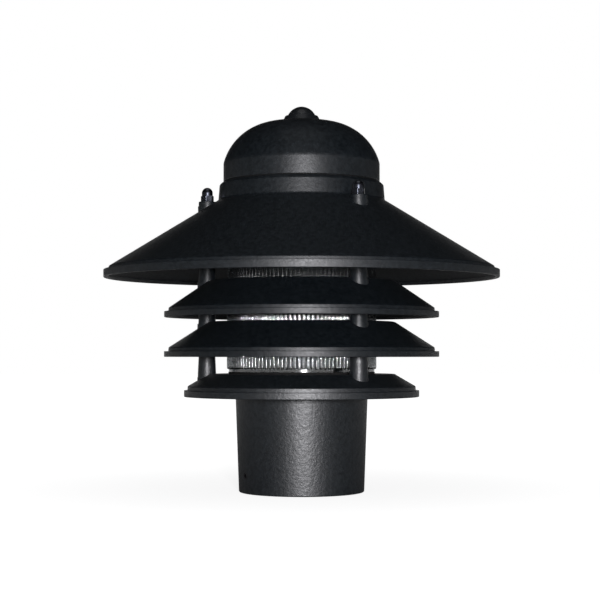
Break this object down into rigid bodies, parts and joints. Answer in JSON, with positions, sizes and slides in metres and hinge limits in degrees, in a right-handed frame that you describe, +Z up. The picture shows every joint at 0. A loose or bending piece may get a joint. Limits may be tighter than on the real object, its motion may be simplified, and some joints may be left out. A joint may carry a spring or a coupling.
{
  "type": "post lantern",
  "caption": "Louvered post lantern: domed cap with finial, wide cone hood, louver rings round a clear reeded lens, and a tubular fitter that slides over a round post.",
  "frame": {"origin": "centre of the fitter's lower end, where the post enters", "axes": "+Z up along the post; -Y is the front that the picture shows, +X its right"},
  "size_m": [0.2666, 0.2666, 0.2607],
  "materials": {
    "black_casting": "satin",
    "black_finial": "satin",
    "black_nut": "gloss",
    "lens_glass": "gloss",
    "black_rubber": "matte",
    "zinc_steel": "satin",
    "dark_steel": "satin",
    "black_plastic": "matte",
    "porcelain": "gloss",
    "brass": "satin",
    "lamp_metal": "satin",
    "lamp_glass": "satin",
    "green_screw": "satin"
  },
  "bodies": {
    "lantern": {"base_fitter": "black_casting", "lower_louver": "black_casting", "upper_louver": "black_casting", "hood": "black_casting", "acorn_nuts": "black_nut", "lens": "lens_glass", "cap_gasket": "black_rubber", "lens_gasket_lower": "black_rubber", "lens_gasket_upper": "black_rubber", "tie_rods": "zinc_steel", "rod_washers": "zinc_steel", "rod_nuts": "zinc_steel", "cap_stud": "zinc_steel", "cap_bridge": "zinc_steel", "stud_nuts": "zinc_steel", "bridge_screws": "zinc_steel", "nipple": "zinc_steel", "nipple_locknut": "zinc_steel", "nipple_bushing": "black_plastic", "lampholder": "porcelain", "screw_shell": "brass", "centre_contact": "brass", "ground_screw": "green_screw"},
    "cap": {"dome_cap": "black_casting"},
    "finial_seat": {"finial_washer": "black_rubber"},
    "finial": {"finial": "black_finial"},
    "lamp": {"lamp_base": "lamp_metal", "lamp_tip": "brass", "lamp_globe": "lamp_glass"},
    "front_screw": {"front_set_screw": "dark_steel"},
    "rear_screw": {"rear_set_screw": "dark_steel"}
  },
  "joints": [
    {"name": "cap_lift", "type": "slide", "parent": "lantern", "child": "cap", "axis": [0, 0, 1], "range_m": [0, 0.055]},
    {"name": "finial_rise", "type": "slide", "parent": "cap", "child": "finial_seat", "axis": [0, 0, 1], "range_m": [0, 0.0051]},
    {"name": "finial_turn", "type": "hinge", "parent": "finial_seat", "child": "finial", "pos_m": [0, 0, 0.2525], "axis": [0, 0, 1], "range_deg": [0, 1800]},
    {"name": "lamp_lift", "type": "slide", "parent": "lantern", "child": "lamp", "axis": [0, 0, 1], "range_m": [0, 0.0155]},
    {"name": "front_screw_drive", "type": "slide", "parent": "lantern", "child": "front_screw", "axis": [0.8746, 0.4848, 0], "range_m": [0, 0.002]},
    {"name": "rear_screw_drive", "type": "slide", "parent": "lantern", "child": "rear_screw", "axis": [-0.8746, -0.4848, 0], "range_m": [0, 0.002]}
  ],
  "couplings": [
    {"joint": "finial_rise", "follows": "finial_turn", "m_per_rad": 0.00015915}
  ]
}
